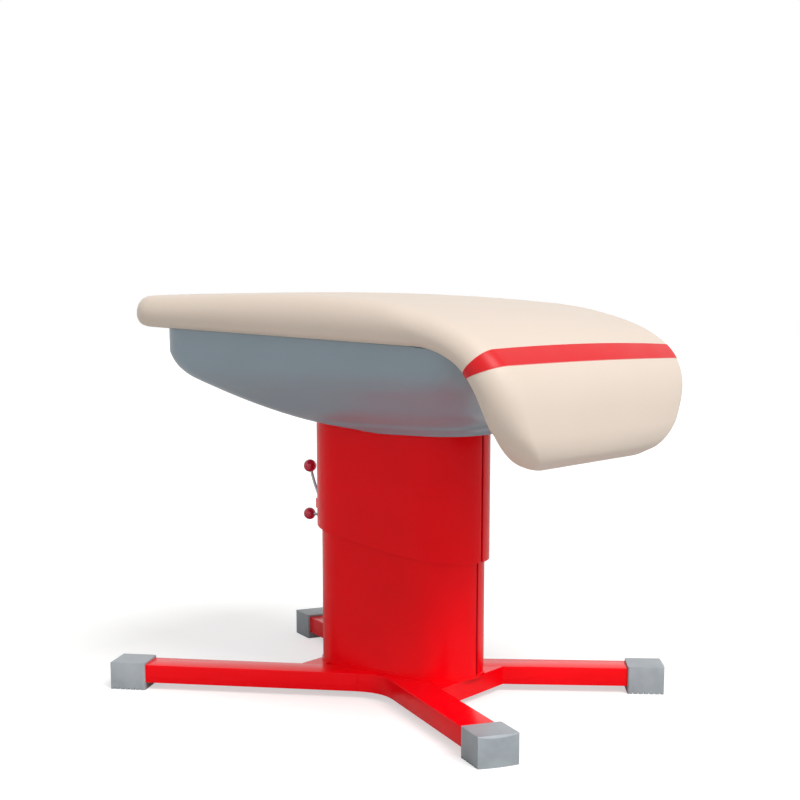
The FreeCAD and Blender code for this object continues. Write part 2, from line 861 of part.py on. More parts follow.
def pad_section(station, inset):
    # A closed outline: flat below, two flanks that bulge a little, four round corners and
    # a crowned top. The shares keep the corners within a thin section.
    under, outer, half_width, crown, fuller = station
    up = (outer - under).normalize()
    base = under + up * inset
    thick = (outer - under).Length - 2 * inset
    crown = min(crown, thick * 0.4)
    side_top = thick - crown
    edge = pad_edge_round + (pad_front_edge_round - pad_edge_round) * fuller
    radius = min(edge, side_top * 0.46)
    low = min(radius * 0.7, side_top * 0.3)
    bulge = min(pad_side_bulge, radius * 0.1)
    half = half_width - inset - bulge

    def at(y, v):
        return base + up * v + Vec(0, y, 0)

    def flank(s):
        a = at(s * (half - low), 0)
        b = at(s * half, low)
        c = at(s * half, side_top - radius)
        d = at(s * (half - radius * 1.15), side_top + crown * 0.12)
        low_middle = at(s * (half - low * corner_in), low * corner_in)
        side_middle = at(s * (half + bulge), (low + side_top - radius) / 2)
        top_middle = at(s * (half - radius * 0.3), side_top - radius * 0.25)
        return [Part.Arc(a, low_middle, b), Part.Arc(b, side_middle, c),
                Part.Arc(c, top_middle, d)], a, d

    left, left_low, left_high = flank(-1)
    right, right_low, right_high = flank(1)
    bottom = Part.LineSegment(left_low, right_low)
    top = Part.Arc(right_high, at(0, thick), left_high)
    edges = [curve.toShape() for curve in [bottom] + right + [top] + left[::-1]]
    return Part.Wire(Part.__sortEdges__(edges))


def pad_form(inset):
    wires = [pad_section(station, inset) for station in pad_stations(inset)]
    return Part.makeLoft(wires, True, False)


def under_frame(point, ahead, behind):
    # A point on the under line with the direction square to the line there, upwards
    line = (ahead - behind).normalize()
    return point, Vec(-line.z, 0, line.x)


def under_points(height, x0, last_turn):
    # The under line moved up square to itself, from x0 to a place on the bend
    step = 0.01
    ahead, behind = Vec(1, 0, -under_slope), Vec(0, 0, 0)
    frames = [under_frame(Vec(x, 0, under_z(x)), ahead, behind) for x in (x0, under_bend_x)]
    for turn in bend_turns[:-1] + [board_last_turn, 1.0]:
        if turn <= last_turn:
            frames.append(under_frame(under_bend(turn), under_bend(min(1.0, turn + step)),
                                      under_bend(turn - step)))
    return [(p.x + n.x * height, p.z + n.z * height) for p, n in frames]


def layer(low, high):
    # A sheet that follows the under line, from height low to high above it, as wide and
    # long as the board, with its corners round in plan
    x0 = pad_rear_x + board_inset
    half = pad_half_width - board_inset
    outline = under_points(low, x0, board_last_turn)
    outline += under_points(high, x0, board_last_turn)[::-1]
    sheet = prism_y(outline, -half, half)
    corners = []
    for edge in sheet.Edges:
        on_side = all(abs(abs(v.Point.y) - half) < 1e-6 for v in edge.Vertexes)
        along_y = edge.BoundBox.YLength > 1e-6
        if on_side and not along_y and abs(edge.Length - (high - low)) < 1e-3:
            corners.append(edge)
    return sheet.makeFillet(board_round, corners)


def top_board():
    board = layer(0.0, board_thick)
    for x, y in damper_places():
        board = board.cut(post(nut_radius, x, y, 0, under_z(x) + nut_depth))
    for screw in hull_screws():
        board = board.cut(screw)
    return board


def soft_body(form):
    # The soft foam fills the cover round the board and the firm foam
    return form.cut(layer(0.0, board_thick + firm_layer_thick))


def board_opening():
    # Where the cover is open below, over the board
    return layer(-board_thick, board_thick)


def pad_cover():
    return pad_form(0).cut(pad_form(cover_thick)).cut(board_opening())


def stripe_band():
    # Between two cuts across the front, which dip towards the under side and meet there
    back, front = under_bend_x, pad_front_x + pad_edge_round

    def edge(z, slope):
        return [(x, z + slope * (x - pad_front_x)) for x in (back, front)]

    low, top = edge(stripe_low_z, stripe_low_slope), edge(stripe_top_z, stripe_top_slope)
    meeting_x = pad_front_x - (stripe_top_z - stripe_low_z) / (stripe_top_slope
                                                               - stripe_low_slope)
    meeting = (meeting_x, stripe_low_z + stripe_low_slope * (meeting_x - pad_front_x))
    slab = prism_y([meeting, low[1], top[1]], -far, far)
    band = pad_form(-stripe_thick - soft_gap).common(slab).cut(pad_form(-soft_gap))
    return band.cut(board_opening())


# Head frame

def damper_places():
    y = rail_inner_y + side_rail_width / 2
    ends = (side_rail_rear_x + damper_end_margin, side_rail_front_x - damper_end_margin)
    return [(x, s * y) for x in ends for s in (-1, 1)]


def side_rail():
    # A tapered box rail on the far side: level below, following the board above
    def body(wall, margin):
        x0, x1 = side_rail_rear_x - margin, side_rail_front_x + margin
        low = side_rail_bottom + wall
        drop = damper_thick + wall
        return prism_y([(x0, low), (x1, low), (x1, under_z(x1) - drop),
                        (x0, under_z(x0) - drop)],
                       rail_inner_y + wall, rail_inner_y + side_rail_width - wall)

    rail = body(0, 0).cut(body(side_rail_wall, 1))
    for x, y in damper_places():
        rail = rail.cut(post(head_bolt_radius + fit_clearance, x, y, 0, far))
    return rail


def cross_rail(x0, x1):
    top = side_rail_bottom + cross_rail_height
    wall = side_rail_wall
    outer = box(x0, x1, -rail_inner_y, rail_inner_y, side_rail_bottom, top)
    return outer.cut(box(x0 + wall, x1 - wall, -far, far, side_rail_bottom + wall, top - wall))


def head_plate():
    length = outer_front_x + head_plate_margin
    return box(-length, length, -rail_inner_y, rail_inner_y, outer_top,
               outer_top + head_plate_thick)


def rubber_dampers():
    pieces = []
    seat = prism_y([(-far, under_z(-far) - damper_thick), (far, under_z(far) - damper_thick),
                    (far, under_z(far)), (-far, under_z(-far))], -far, far)
    for x, y in damper_places():
        disc = post(side_rail_width / 2, x, y, side_rail_bottom, pad_top_z).common(seat)
        pieces.append(disc.cut(post(head_bolt_radius + fit_clearance, x, y, 0, far)))
    return pieces


def insert_nuts():
    nuts = []
    for x, y in damper_places():
        low = under_z(x) + under_slope * nut_radius
        nut = post(nut_radius, x, y, low, under_z(x) + nut_depth)
        nuts.append(nut.cut(post(head_bolt_radius, x, y, 0, far)))
    return nuts


def head_bolts():
    bolts = []
    for x, y in damper_places():
        shank = post(head_bolt_radius, x, y, side_rail_bottom, under_z(x) + nut_depth)
        head = post(head_bolt_head_radius, x, y, side_rail_bottom - head_bolt_head_thick,
                    side_rail_bottom)
        bolts.append(shank.fuse(head).removeSplitter())
    return bolts


# Hull

def hull_outline(z, rear, front, half_width, radius):
    # A level rectangle with round corners, from x = -rear to x = front
    arcs = []
    for sx, sy in ((1, 1), (-1, 1), (-1, -1), (1, -1)):
        end_x = front if sx > 0 else -rear
        centre = Vec(end_x - sx * radius, sy * (half_width - radius), z)
        middle = centre + Vec(sx, sy, 0) * (radius * math.sqrt(0.5))
        ends = [centre + Vec(sx * radius, 0, 0), centre + Vec(0, sy * radius, 0)]
        if sx * sy < 0:
            ends.reverse()
        arcs.append((ends[0], middle, ends[1]))
    edges = []
    for i, (start, middle, end) in enumerate(arcs):
        edges.append(Part.Arc(start, middle, end).toShape())
        edges.append(Part.LineSegment(end, arcs[(i + 1) % 4][0]).toShape())
    return Part.Wire(edges)


def hull_body(inset):
    mouth_length = outer_front_x + hull_mouth_margin
    mouth_width = outer_radius + hull_mouth_margin
    height = hull_wall_bottom_z - hull_bottom_z
    wires = []
    for height_share, rear_share, front_share, side_share in hull_levels:
        rear = hull_bottom_rear + (hull_half_length - hull_bottom_rear) * rear_share
        front = mouth_length + (hull_half_length - mouth_length) * front_share
        width = mouth_width + (hull_half_width - mouth_width) * side_share
        wires.append(hull_outline(hull_bottom_z + height * height_share + inset, rear - inset,
                                  front - inset, width - inset, hull_round - inset))
    rim = hull_outline(pad_top_z + inset, hull_half_length - inset, hull_half_length - inset,
                       hull_half_width - inset, hull_round - inset)
    bowl = Part.makeLoft(wires, True, False)
    return bowl.fuse(Part.makeLoft([wires[-1], rim], True, True))


def hull_half():
    # The near half: the two meet along the middle, round the mouth for the column
    points = under_points(-hull_rim_gap, -far, 1.0)
    below_board = prism_y(points + [(points[-1][0], 0), (-far, 0)], -far, -hull_joint_gap / 2)
    shell = hull_body(0).cut(hull_body(hull_wall)).common(below_board)
    return shell.cut(oval(outer_radius + hull_mouth_gap, 0, far))


def hull_bracket_places():
    y = hull_half_width - hull_wall
    return [(hull_bracket_middle_x + hull_bracket_spacing * i, s * y)
            for i in (-1, 0, 1) for s in (-1, 1)]


def hull_screws():
    # Short screws up into the board, their heads just below the brackets
    screws = []
    for x, wall_y in hull_bracket_places():
        y = wall_y - math.copysign(hull_screw_inset, wall_y)
        seat = under_z(x) - hull_bracket_thick - under_slope * hull_screw_head_radius
        shank = post(hull_screw_radius, x, y, seat, under_z(x) + hull_screw_depth)
        head = post(hull_screw_head_radius, x, y, seat - hull_screw_head_thick, seat)
        screws.append(shank.fuse(head).removeSplitter())
    return screws


def hull_brackets():
    # Angles under the board's edge that hold the hull's upright wall
    brackets = []
    for x, wall_y in hull_bracket_places():
        x0, x1 = x - hull_bracket_width / 2, x + hull_bracket_width / 2
        inner = math.copysign(1, wall_y)

        def slab(depth, drop):
            y0, y1 = sorted((wall_y, wall_y - inner * depth))
            return prism_y([(x0, under_z(x0) - drop), (x1, under_z(x1) - drop),
                            (x1, under_z(x1) - hull_bracket_gap),
                            (x0, under_z(x0) - hull_bracket_gap)],
                           y0, y1)

        angle = slab(hull_bracket_thick, hull_bracket_drop)
        angle = angle.fuse(slab(hull_bracket_leg, hull_bracket_thick)).removeSplitter()
        y = wall_y - inner * hull_screw_inset
        brackets.append(angle.cut(post(hull_screw_radius + fit_clearance, x, y, 0, far)))
    return brackets


def save_base():
    for name, leg in (("front", front_leg), ("rear", rear_leg)):
        tube = leg_tube(leg)
        save("near_" + name + "_leg", [tube])
        save("far_" + name + "_leg", [mirrored(tube)])
        foot = shoe(leg)
        save("near_" + name + "_shoe", [foot])
        save("far_" + name + "_shoe", [mirrored(foot)])
        save(name + "_crossbar", [crossbar(leg)])
    gusset = corner_gusset()
    save("corner_gussets", [gusset, mirrored(gusset)])
    save("column_flange", [column_flange()])
    save("flange_bolts", flange_bolts())
    half = inner_half()
    save("inner_column_near_half", [half])
    save("inner_column_far_half", [mirrored(half)])
    save("inner_front_strip", [inner_strip()])
    save("index_rail", [index_rail()])
    save("upper_guide_pads", upper_guide_pads())


def save_spring():
    save("gas_spring_cylinder", [spring_cylinder()])
    save("gas_spring_gland", [spring_gland()])
    save("gas_spring_piston", [spring_piston()])
    save("gas_spring_rod", [spring_rod()])
    save("lower_spring_bracket", [bracket(flange_top, 1, lower_pin_z)])
    save("lower_spring_pin", [eye_pin(lower_pin_z)])
    save("upper_spring_bracket", [bracket(outer_top, -1, upper_pin_z)])
    save("upper_spring_pin", [eye_pin(upper_pin_z)])


def save_lock():
    half = outer_half()
    save("outer_column_near_half", [half])
    save("outer_column_far_half", [mirrored(half)])
    save("outer_front_strip", [outer_strip()])
    save("lock_plate", [lock_plate()])
    save("lower_guide_pads", lower_guide_pads())
    save("plunger_housing", [plunger_housing()])
    save("index_pin", [index_pin()])
    save("plunger_knob", [plunger_knob()])
    save("plunger_spring", [plunger_spring()])
    save("lever_ears", lever_ears())
    save("lever_pivot_pin", [lever_pivot_pin()])
    save("lever_cam", [lever_cam()])
    save("lever_rod", [lever_rod()])
    save("lever_knob", [lever_knob()])
    save("brake_shoe", [brake_shoe()])


def save_head():
    save("head_plate", [head_plate()])
    rail = side_rail()
    save("far_side_rail", [rail])
    save("near_side_rail", [mirrored(rail)])
    save("front_cross_rail", [cross_rail(side_rail_front_x - cross_rail_width,
                                         side_rail_front_x)])
    save("rear_cross_rail", [cross_rail(side_rail_rear_x, side_rail_rear_x + cross_rail_width)])
    save("rubber_dampers", rubber_dampers())
    save("insert_nuts", insert_nuts())
    save("head_bolts", head_bolts())
    save("top_board", [top_board()])
    half = hull_half()
    save("hull_near_half", [half])
    save("hull_far_half", [mirrored(half)])
    save("hull_brackets", hull_brackets())
    save("hull_screws", hull_screws())


def save_pad():
    save("firm_foam_layer", [layer(board_thick, board_thick + firm_layer_thick)])
    save("soft_foam_body", [soft_body(pad_form(cover_thick + soft_gap))])
    save("pad_cover", [pad_cover()])
    save("stripe_band", [stripe_band()])


def main():
    os.makedirs("parts", exist_ok=True)
    save_base()
    save_spring()
    save_lock()
    save_head()
    save_pad()


main()
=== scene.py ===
import bpy
import bmesh
import math
import numpy as np
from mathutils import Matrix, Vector


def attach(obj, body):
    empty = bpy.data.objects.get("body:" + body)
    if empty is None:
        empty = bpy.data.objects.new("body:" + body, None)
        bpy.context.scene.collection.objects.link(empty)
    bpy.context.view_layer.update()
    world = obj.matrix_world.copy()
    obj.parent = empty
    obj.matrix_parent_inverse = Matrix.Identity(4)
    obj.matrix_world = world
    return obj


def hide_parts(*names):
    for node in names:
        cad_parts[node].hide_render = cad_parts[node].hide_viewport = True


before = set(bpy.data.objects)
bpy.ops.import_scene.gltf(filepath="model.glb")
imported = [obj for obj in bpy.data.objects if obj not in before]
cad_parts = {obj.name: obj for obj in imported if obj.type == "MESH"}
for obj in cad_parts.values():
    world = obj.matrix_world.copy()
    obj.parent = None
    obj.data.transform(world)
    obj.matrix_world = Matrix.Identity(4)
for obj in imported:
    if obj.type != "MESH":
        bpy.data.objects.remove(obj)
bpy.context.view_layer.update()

# Vaulting table: red powder coated base and column, grey moulded hull, padded top.
# Millimetres in the dictionaries, metres in the meshes.
metre = 0.001

# Materials


def linear(hexCode):
    # sRGB hex to the linear colour that a shader takes
    part = np.array([int(hexCode[i:i + 2], 16) for i in (0, 2, 4)]) / 255
    part = np.where(part <= 0.04045, part / 12.92, ((part + 0.055) / 1.055) ** 2.4)
    return (*part, 1.0)


def addNode(nodes, kind, values=None, links=None, **settings):
    # one shader node with its settings, its socket values and what is linked into it
    node = nodes.new("ShaderNode" + kind)
    for name, value in settings.items():
        setattr(node, name, value)
    for name, value in (values or {}).items():
        node.inputs[name].default_value = value
    for name, socket in (links or {}).items():
        nodes.id_data.links.new(socket, node.inputs[name])
    return node


def startFinish(name, values):
    # a material with its shader set, its nodes, and the place on the object in metres
    material = bpy.data.materials.new(name)
    material.use_nodes = True
    nodes = material.node_tree.nodes
    shader = nodes["Principled BSDF"]
    for socket, value in values.items():
        shader.inputs[socket].default_value = value
    return material, nodes, addNode(nodes, "TexCoord").outputs["Object"]


def finishUp(nodes, **sockets):
    # links what the patterns give into the shader
    for name, socket in sockets.items():
        nodes.id_data.links.new(socket, nodes["Principled BSDF"].inputs[name.replace("_", " ")])


def perMetre(sizeMm):
    # noise and voronoi scale for features of that size
    return 1000 / sizeMm


powderCoat = dict(colour="FA0212", cloudy="F2020F", grime="C8020C", peelMm=6,
                  roughness=0.22, gloss=0.14)


def powderCoatedSteel(name, look):
    # baked powder paint on steel: even, glossy, with a soft orange peel. The peel is
    # 2 mm across on the real thing and drawn at 6 mm so that it shows.
    material, nodes, place = startFinish(name, {"Specular IOR Level": look["gloss"]})
    cloud = addNode(nodes, "TexNoise", {"Scale": perMetre(320), "Detail": 1.0},
                    {"Vector": place})
    dust = addNode(nodes, "TexNoise", {"Scale": perMetre(90), "Detail": 4.0},
                   {"Vector": place})
    share = addNode(nodes, "MapRange", {"From Min": 0.35, "From Max": 0.65},
                    {"Value": cloud.outputs["Fac"]})
    tint = addNode(nodes, "Mix", {"A": linear(look["cloudy"]), "B": linear(look["colour"])},
                   {"Factor": share.outputs["Result"]}, data_type="RGBA")
    thin = addNode(nodes, "MapRange", {"From Min": 0.5, "From Max": 0.85, "To Max": 0.12},
                   {"Value": dust.outputs["Fac"]})
    tint = addNode(nodes, "Mix", {"B": linear(look["grime"])},
                   {"Factor": thin.outputs["Result"], "A": tint.outputs["Result"]},
                   data_type="RGBA")
    rough = addNode(nodes, "MapRange", {"From Min": 0.3, "From Max": 0.8,
                                        "To Min": look["roughness"] - 0.01,
                                        "To Max": look["roughness"] + 0.03},
                    {"Value": dust.outputs["Fac"]})
    peel = addNode(nodes, "TexNoise", {"Scale": perMetre(look["peelMm"]), "Detail": 0.5},
                   {"Vector": place})
    bump = addNode(nodes, "Bump", {"Strength": 0.05, "Distance": 0.0004},
                   {"Height": peel.outputs["Fac"]})
    finishUp(nodes, Base_Color=tint.outputs["Result"], Roughness=rough.outputs["Result"],
             Normal=bump.outputs["Normal"])
    return material


shoeRubber = dict(colour="9CA3A8", pale="A6ACB0", dark="8F969B", grainMm=4, roughness=0.42)


def mouldedRubber(name, look):
    # thermoplastic rubber from a spark eroded mould: a fine, even grain with a dull
    # gloss. The grain is 0.5 mm on the real thing and drawn at 4 mm so that it shows.
    material, nodes, place = startFinish(name, {"IOR": 1.48})
    scuff = addNode(nodes, "TexNoise", {"Scale": perMetre(70), "Detail": 4.0},
                    {"Vector": place})
    tint = addNode(nodes, "ValToRGB", links={"Fac": scuff.outputs["Fac"]})
    tint.color_ramp.elements.new(0.5)
    for element, at, shade in zip(tint.color_ramp.elements, (0.3, 0.5, 0.75),
                                  (look["dark"], look["colour"], look["pale"])):
        element.position, element.color = at, linear(shade)
    rough = addNode(nodes, "MapRange", {"From Min": 0.3, "From Max": 0.7,
                                        "To Min": look["roughness"] - 0.05,
                                        "To Max": look["roughness"] + 0.1},
                    {"Value": scuff.outputs["Fac"]})
    grain = addNode(nodes, "TexVoronoi", {"Scale": perMetre(look["grainMm"])},
                    {"Vector": place}, feature="SMOOTH_F1")
    bump = addNode(nodes, "Bump", {"Strength": 0.15, "Distance": 0.0004},
                   {"Height": grain.outputs["Distance"]})
    finishUp(nodes, Base_Color=tint.outputs["Color"], Roughness=rough.outputs["Result"],
             Normal=bump.outputs["Normal"])
    return material


def metalFinish(name, colour, dim, roughness, grainMm, stretch=(1, 1, 1)):
    # bare or plated metal: grainMm is the size of its spangle or of its brushing, drawn
    # out along an axis by stretch
    material, nodes, place = startFinish(name, {"Metallic": 1.0})
    turned = addNode(nodes, "Mapping", {"Scale": stretch}, {"Vector": place})
    grain = addNode(nodes, "TexNoise", {"Scale": perMetre(grainMm), "Detail": 4.0},
                    {"Vector": turned.outputs["Vector"]})
    share = addNode(nodes, "MapRange", {"From Min": 0.35, "From Max": 0.8},
                    {"Value": grain.outputs["Fac"]})
    tint = addNode(nodes, "Mix", {"A": linear(colour), "B": linear(dim)},
                   {"Factor": share.outputs["Result"]}, data_type="RGBA")
    rough = addNode(nodes, "MapRange", {"From Min": 0.3, "From Max": 0.7,
                                        "To Min": roughness, "To Max": roughness + 0.08},
                    {"Value": grain.outputs["Fac"]})
    finishUp(nodes, Base_Color=tint.outputs["Result"], Roughness=rough.outputs["Result"])
    return material


def plainMoulding(name, colour, shade, roughness, grainMm, coat=0.0):
    # moulded plastic: a little uneven in tone, with the faint grain of its mould
    material, nodes, place = startFinish(name, {"Roughness": roughness, "IOR": 1.5,
                                                "Coat Weight": coat})
    grain = addNode(nodes, "TexNoise", {"Scale": perMetre(grainMm), "Detail": 3.0},
                    {"Vector": place})
    tone = addNode(nodes, "Mix", {"A": linear(shade), "B": linear(colour)},
                   {"Factor": grain.outputs["Fac"]}, data_type="RGBA")
    bump = addNode(nodes, "Bump", {"Strength": 0.1, "Distance": 0.0003},
                   {"Height": grain.outputs["Fac"]})
    finishUp(nodes, Base_Color=tone.outputs["Result"], Normal=bump.outputs["Normal"])
    return material


hullLook = dict(colour="93A3AE", deep="8999A4", rippleMm=60, roughness=0.34)


def gelCoat(name, look):
    # glass fibre with a pigmented gel coat: a satin gloss, with the mat underneath just
    # showing through as a slow ripple 60 mm across
    material, nodes, place = startFinish(name, {"IOR": 1.45, "Coat Weight": 0.15,
                                                "Coat Roughness": 0.25})
    cloud = addNode(nodes, "TexNoise", {"Scale": perMetre(260), "Detail": 3.0},
                    {"Vector": place})
    tint = addNode(nodes, "Mix", {"A": linear(look["deep"]), "B": linear(look["colour"])},
                   {"Factor": cloud.outputs["Fac"]}, data_type="RGBA")
    rough = addNode(nodes, "MapRange", {"From Min": 0.3, "From Max": 0.7,
                                        "To Min": look["roughness"],
                                        "To Max": look["roughness"] + 0.08},
                    {"Value": cloud.outputs["Fac"]})
    ripple = addNode(nodes, "TexNoise", {"Scale": perMetre(look["rippleMm"]),
                                         "Detail": 2.0}, {"Vector": place})
    bump = addNode(nodes, "Bump", {"Strength": 0.1, "Distance": 0.003},
                   {"Height": ripple.outputs["Fac"]})
    finishUp(nodes, Base_Color=tint.outputs["Result"], Roughness=rough.outputs["Result"],
             Normal=bump.outputs["Normal"])
    return material


plyLook = dict(face="C79A66", streak="A87A48")


def bentPlywood(name, look):
    # birch plywood, rotary cut and varnished: long soft grain 9 mm wide along the board
    material, nodes, place = startFinish(name, {"Roughness": 0.5})
    along = addNode(nodes, "Mapping", {"Scale": (0.06, 1.0, 0.06)}, {"Vector": place})
    grain = addNode(nodes, "TexNoise", {"Scale": perMetre(9), "Detail": 5.0,
                                        "Distortion": 0.6},
                    {"Vector": along.outputs["Vector"]})
    share = addNode(nodes, "MapRange", {"From Min": 0.35, "From Max": 0.6},
                    {"Value": grain.outputs["Fac"]})
    tint = addNode(nodes, "Mix", {"A": linear(look["streak"]), "B": linear(look["face"])},
                   {"Factor": share.outputs["Result"]}, data_type="RGBA")
    bump = addNode(nodes, "Bump", {"Strength": 0.2, "Distance": 0.0004},
                   {"Height": grain.outputs["Fac"]})
    finishUp(nodes, Base_Color=tint.outputs["Result"], Normal=bump.outputs["Normal"])
    return material


coverLook = dict(colour="DDCEC1", warm="D8C8B8", edge="DDCEC1", grainMm=3.2, roughness=0.5,
                 sheen=0.15)
# the stripe's edge tone is a painted highlight along the band's edges
stripeLook = dict(colour="D60F17", warm="CE0B14", edge="EE9A96", grainMm=3.2,
                  roughness=0.45, sheen=0.02)


def coatedCloth(name, look):
    # knitted cloth with a soft PU skin, embossed like leather: matt with a weak sheen.
    # The pebbles are 1 mm across on the real thing and drawn at 3.2 mm to show. Where
    # the mesh carries an edge share, its edges are painted a paler tone: a painted highlight.
    material, nodes, place = startFinish(name, {"IOR": 1.4, "Sheen Weight": look["sheen"],
                                                "Sheen Roughness": 0.4})
    wear = addNode(nodes, "TexNoise", {"Scale": perMetre(240), "Detail": 3.0},
                   {"Vector": place})
    tint = addNode(nodes, "Mix", {"A": linear(look["warm"]), "B": linear(look["colour"])},
                   {"Factor": wear.outputs["Fac"]}, data_type="RGBA")
    # painted highlight: towards the edges of a mesh that carries an edge share, the colour turns
    # to the pale edge tone
    edge = addNode(nodes, "Attribute", attribute_name="edgeHighlightShare")
    tint = addNode(nodes, "Mix", {"B": linear(look["edge"])},
                   {"Factor": edge.outputs["Fac"], "A": tint.outputs["Result"]},
                   data_type="RGBA")
    pebble = addNode(nodes, "TexVoronoi", {"Scale": perMetre(look["grainMm"]),
                                           "Smoothness": 0.6}, {"Vector": place},
                     feature="SMOOTH_F1")
    # painted shade: the colour darkens by up to 3% from the pebble centres into the hollows
    # between them
    shade = addNode(nodes, "MapRange", {"From Max": 0.8, "To Min": 1.0, "To Max": 0.97},
                    {"Value": pebble.outputs["Distance"]})
    pebbleHollowShade = addNode(nodes, "HueSaturation", links={"Color": tint.outputs["Result"],
                                                    "Value": shade.outputs["Result"]})
    rough = addNode(nodes, "MapRange", {"From Min": 0.3, "From Max": 0.7,
                                        "To Min": look["roughness"] - 0.05,
                                        "To Max": look["roughness"] + 0.08},
                    {"Value": wear.outputs["Fac"]})
    bump = addNode(nodes, "Bump", {"Strength": 0.15, "Distance": 0.0003},
                   {"Height": pebble.outputs["Distance"]})
    finishUp(nodes, Base_Color=pebbleHollowShade.outputs["Color"], Roughness=rough.outputs["Result"],
             Normal=bump.outputs["Normal"])
    return material


finish = {
    "red_powder_coat": powderCoatedSteel("redPowderCoat", powderCoat),
    # painted shade: the seam strips take the coat in a darker purple red, standing in for the
    # shade on the column's front strip
    "seam_red": powderCoatedSteel("seamShadedRedPowderCoat", powderCoat | dict(
        colour="9C0B1E", cloudy="8A0A1B")),
    "grey_rubber": mouldedRubber("greyShoeRubber", shoeRubber),
    "black_rubber": mouldedRubber("blackDamperRubber", dict(
        colour="26272A", pale="3A3B3E", dark="1B1C1E", grainMm=4, roughness=0.6)),
    "zinc_steel": metalFinish("zincPlatedSteel", "B9BDC0", "94989B", 0.34, 9),
    "bright_steel": metalFinish("turnedBrightSteel", "A9ABAD", "85878A", 0.2, 4, (1, 6, 6)),
    "chrome_rod": metalFinish("hardChromeRod", "D4D7DA", "C4C7CA", 0.07, 30),
    "black_steel": plainMoulding("blackPaintedSteel", "303134", "26272A", 0.42, 6, 0.2),
    "white_nylon": plainMoulding("whiteNylon", "E6E4DC", "DEDCD3", 0.4, 5),
    "crimson_ball": plainMoulding("crimsonPhenolicBall", "D41040", "C80C38", 0.2, 12, 0.3),
    "plywood": bentPlywood("bentBirchPlywood", plyLook),
    "hull_grey": gelCoat("greyGelCoat", hullLook),
    "tan_cover": coatedCloth("tanCoatedCloth", coverLook),
    "red_stripe": coatedCloth("redCoatedCloth", stripeLook),
}

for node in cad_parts.values():
    for materialSlot in node.material_slots:
        slotName = materialSlot.material.name.split(".")[0]
        if slotName in finish:
            materialSlot.material = finish[slotName]
print("materials: ", len(finish))

# Meshes


def surfaceMesh(name, points, closeRound=False, edgeHighlightShare=None):
    # a mesh from a grid of points (rows, columns, 3) in millimetres: each cell is one
    # face, and the columns close into a ring on request
    rows, columns = points.shape[:2]
    index = np.arange(rows * columns).reshape(rows, columns)
    across = np.concatenate([index, index[:, :1]], axis=1) if closeRound else index
    faces = np.stack([across[:-1, :-1], across[:-1, 1:], across[1:, 1:], across[1:, :-1]],
                     axis=-1).reshape(-1, 4).tolist()
    mesh = bpy.data.meshes.new(name)
    mesh.from_pydata(points.reshape(-1, 3) * metre, [], faces)
    if edgeHighlightShare is not None:
        share = mesh.attributes.new("edgeHighlightShare", "FLOAT", "POINT")
        share.data.foreach_set("value", edgeHighlightShare.ravel())
    work = bmesh.new()
    work.from_mesh(mesh)
    bmesh.ops.remove_doubles(work, verts=work.verts, dist=1e-6)
    bmesh.ops.recalc_face_normals(work, faces=work.faces)
    work.to_mesh(mesh)
    work.free()
    mesh.shade_smooth()
    return mesh


def newPiece(name, mesh, body, slotName):
    piece = bpy.data.objects.new(name, mesh)
    bpy.context.scene.collection.objects.link(piece)
    mesh.materials.clear()
    mesh.materials.append(finish[slotName])
    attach(piece, body)
    return piece


# Pad. Its outline in the plane y = 0 is an outer line over the top and front, and an
# under line below; both are straight behind and turn down along a power curve.
pad = dict(
    topZ=1084.0, rearX=-565.0, underRearZ=998.0, halfWidth=475.0, planRound=100.0,
    rearRound=82.0, noseDrop=10.0, crown=12.0, sideBulge=3.0, edgeRound=36.0,
    frontEdgeRound=50.0, bendStartX=-332.0, frontX=635.0, frontZ=751.0, bendPower=3.18,
    lean=70.0, underSlope=0.051, underBendX=335.0, underFrontX=538.5, underFrontZ=753.0,
    underPower=2.37, tipZ=661.0, outerRise=14.8, outerBack=37.0, underRise=16.5,
    underBack=8.4, narrowingZ=925.0, narrowing=244.0, narrowingPower=1.95,
    boardHalf=415.0, boardRearX=-505.0, hemWidth=40.0, hemThick=1.5, bendHem=3.0, boardDepth=9.0)


def powerArc(turn, start, end, power):
    # x goes with sin^(2/power) and z with cos^(2/power) of a quarter turn: an arc that is
    # squarer than a circle
    angle = turn * math.pi / 2
    along = np.sin(angle) ** (2 / power)
    down = np.maximum(np.cos(angle), 0) ** (2 / power)
    return np.stack([start[0] + (end[0] - start[0]) * along,
                     end[1] + (start[1] - end[1]) * down], axis=-1)


def underZ(x):
    return pad["underRearZ"] - pad["underSlope"] * (x - pad["rearX"])


def planHalf(x):
    # the rear corners are quarter circles in plan
    short = np.clip(pad["planRound"] - (x - pad["rearX"]), 0, pad["planRound"])
    return pad["halfWidth"] - pad["planRound"] + np.sqrt(pad["planRound"] ** 2 - short ** 2)


